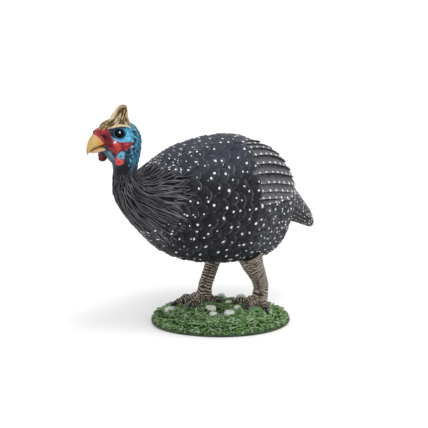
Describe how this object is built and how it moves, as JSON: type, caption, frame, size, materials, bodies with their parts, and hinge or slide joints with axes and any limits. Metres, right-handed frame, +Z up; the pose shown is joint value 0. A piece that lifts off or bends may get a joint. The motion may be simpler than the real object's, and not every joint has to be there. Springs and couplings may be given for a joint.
{
  "type": "guinea fowl figurine",
  "caption": "Small painted plastic helmeted guinea fowl walking on an oval base of grass and pebbles, a toy or display figure.",
  "frame": {"origin": "on the flat underside of the base, straight below the middle of the bird's body", "axes": "+Z up, -Y the way the bird's body and beak point, +X to the bird's left"},
  "size_m": [0.0302, 0.0636, 0.0543],
  "materials": {
    "grass": "green paint, darker in the hollows and pale on the blades",
    "pebble": "pale grey paint",
    "leg": "grey-brown paint with a dark wash between the scutes",
    "plumage": "charcoal paint, grey on the feather edges, with small white spots",
    "face": "bright blue paint with a red band and a dark wash",
    "casque": "tan paint with a brown wash in the wrinkles",
    "beak": "horn-coloured satin paint, brown at the tip",
    "eye": "glossy black",
    "wattle": "satin pale blue and red paint"
  },
  "bodies": {
    "root": {"base": "grass", "pebble_1": "pebble", "pebble_2": "pebble", "pebble_3": "pebble", "pebble_4": "pebble", "pebble_5": "pebble", "pebble_6": "pebble", "pebble_7": "pebble", "pebble_8": "pebble", "foot_left": "leg", "foot_right": "leg", "leg_left": "leg", "leg_right": "leg", "torso": "plumage", "neck": "plumage", "wing_left": "plumage", "wing_right": "plumage", "tail": "plumage", "head": "face", "casque": "casque", "beak_upper": "beak", "beak_lower": "beak", "eye_left": "eye", "eye_right": "eye", "wattle_left": "wattle", "wattle_right": "wattle"}
  },
  "joints": []
}
